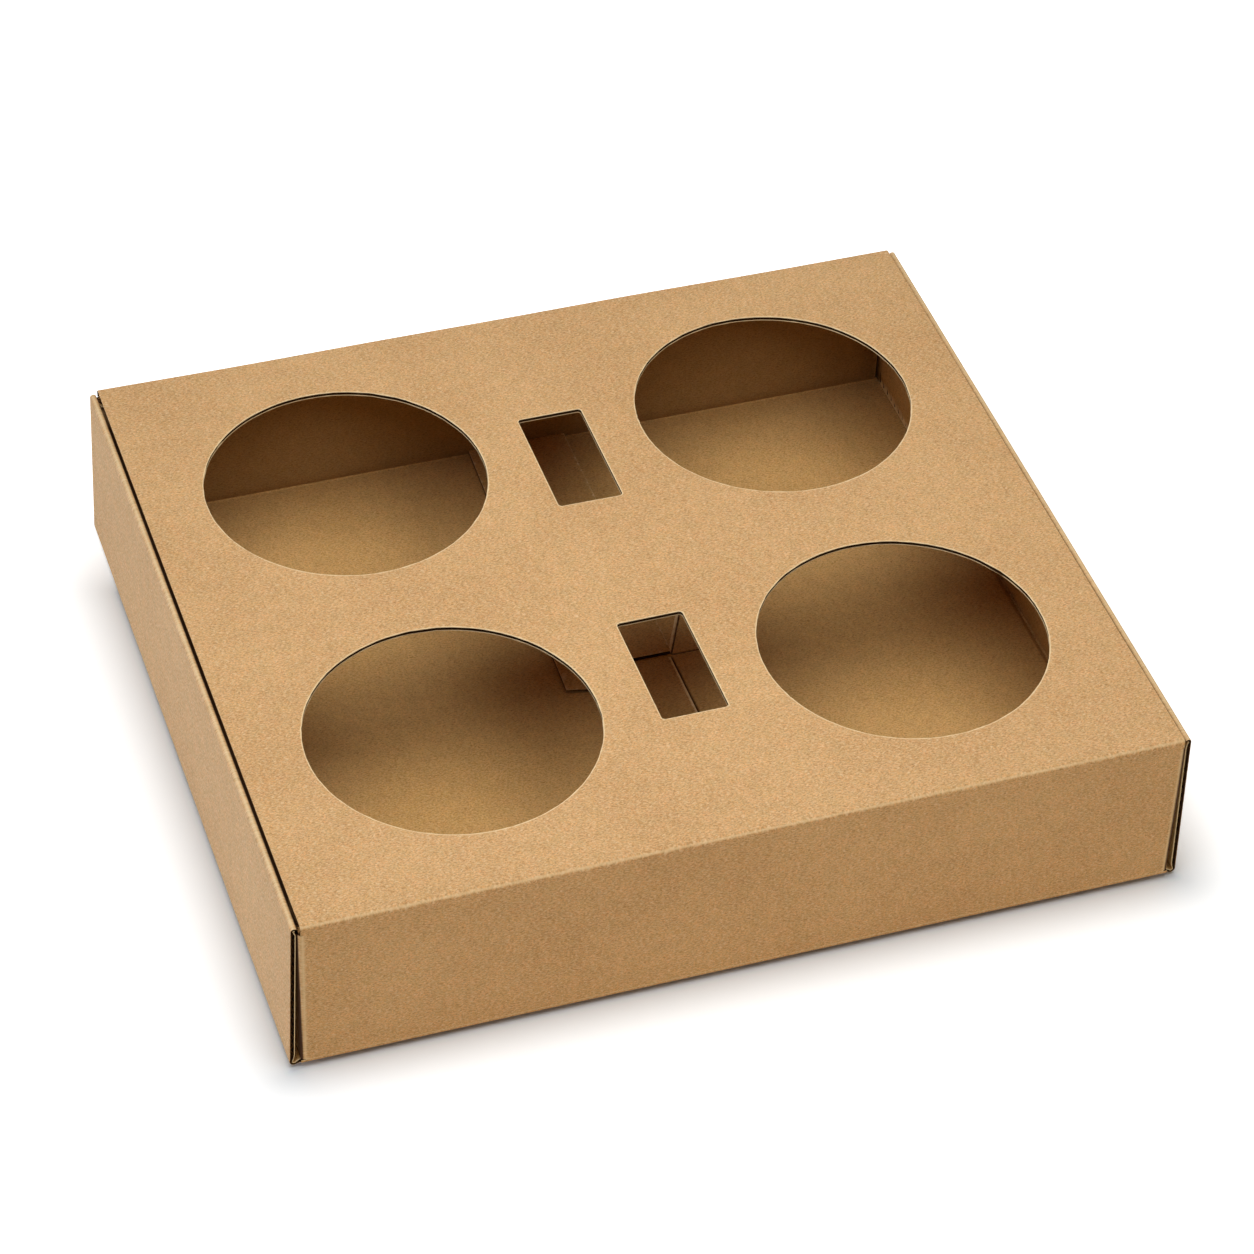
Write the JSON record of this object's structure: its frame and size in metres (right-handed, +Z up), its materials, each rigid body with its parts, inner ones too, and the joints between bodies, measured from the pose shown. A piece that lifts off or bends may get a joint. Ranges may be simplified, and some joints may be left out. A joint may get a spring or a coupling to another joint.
{
  "type": "cardboard cup carrier",
  "caption": "Flat kraft corrugated box whose top panel has round holes that hold drink cups and finger slots to carry it by, with end flaps that tuck in.",
  "frame": {"origin": "centre of the bottom panel's outer face, where the carrier stands", "axes": "+X to the right along the front, +Y to the back, +Z up"},
  "size_m": [0.252, 0.226, 0.051],
  "materials": {
    "kraft_board": "unprinted brown kraft liner, matt"
  },
  "bodies": {
    "sleeve": {"carton_sleeve": "kraft_board"},
    "left_flap": {"left_end_flap": "kraft_board"},
    "right_flap": {"right_end_flap": "kraft_board"}
  },
  "joints": [
    {"name": "left_flap_hinge", "type": "hinge", "parent": "sleeve", "child": "left_flap", "pos_m": [-0.126, 0, 0], "axis": [0, -1, 0], "range_deg": [0, 90]},
    {"name": "right_flap_hinge", "type": "hinge", "parent": "sleeve", "child": "right_flap", "pos_m": [0.126, 0, 0], "axis": [0, 1, 0], "range_deg": [0, 90]}
  ]
}
